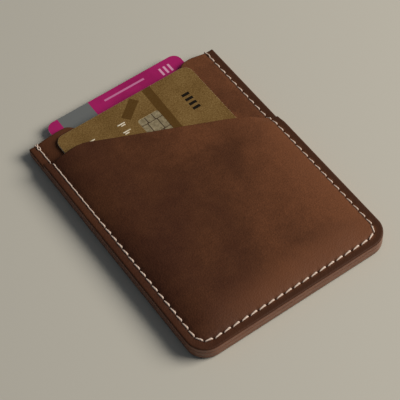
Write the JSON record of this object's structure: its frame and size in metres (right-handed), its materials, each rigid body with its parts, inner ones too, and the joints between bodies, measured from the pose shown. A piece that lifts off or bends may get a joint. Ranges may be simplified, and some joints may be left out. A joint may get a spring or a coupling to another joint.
{
  "type": "card wallet",
  "caption": "Stitched leather card sleeve with a full pocket and a slanted front pocket, each holding a payment card that slides out of the open end.",
  "frame": {"origin": "centre of the flat back face", "axes": "+X to the right across the sleeve, +Y towards the open end, +Z out of the front"},
  "size_m": [0.0744, 0.1048, 0.0081],
  "materials": {
    "leather": "waxed satin, burnished edges",
    "waxed_thread": "waxed",
    "gold_print": "satin metallic print",
    "magenta_print": "gloss laminate",
    "card_core": "matt",
    "antenna_copper": "bare copper",
    "chip_contacts": "plated",
    "chip_resin": "moulded resin",
    "magnetic_stripe": "smooth",
    "signature_strip": "writable"
  },
  "bodies": {
    "sleeve": {"back_panel": "leather", "middle_panel": "leather", "front_panel": "leather", "first_needle_thread": "waxed_thread", "second_needle_thread": "waxed_thread", "left_edge_wrap": "waxed_thread", "right_edge_wrap": "waxed_thread"},
    "gold_card": {"gold_card_front_sheet": "gold_print", "gold_card_inlay": "card_core", "gold_card_back_sheet": "gold_print", "gold_card_antenna": "antenna_copper", "gold_card_chip_contacts": "chip_contacts", "gold_card_chip_module": "chip_resin", "gold_card_magnetic_stripe": "magnetic_stripe", "gold_card_signature_strip": "signature_strip"},
    "magenta_card": {"magenta_card_front_sheet": "magenta_print", "magenta_card_inlay": "card_core", "magenta_card_back_sheet": "magenta_print", "magenta_card_antenna": "antenna_copper", "magenta_card_chip_contacts": "chip_contacts", "magenta_card_chip_module": "chip_resin", "magenta_card_magnetic_stripe": "magnetic_stripe", "magenta_card_signature_strip": "signature_strip"}
  },
  "joints": [
    {"name": "gold_card_slide", "type": "slide", "parent": "sleeve", "child": "gold_card", "axis": [0, 1, 0], "range_m": [-0.0039, 0.07]},
    {"name": "magenta_card_slide", "type": "slide", "parent": "sleeve", "child": "magenta_card", "axis": [0, 1, 0], "range_m": [-0.012, 0.074]}
  ]
}
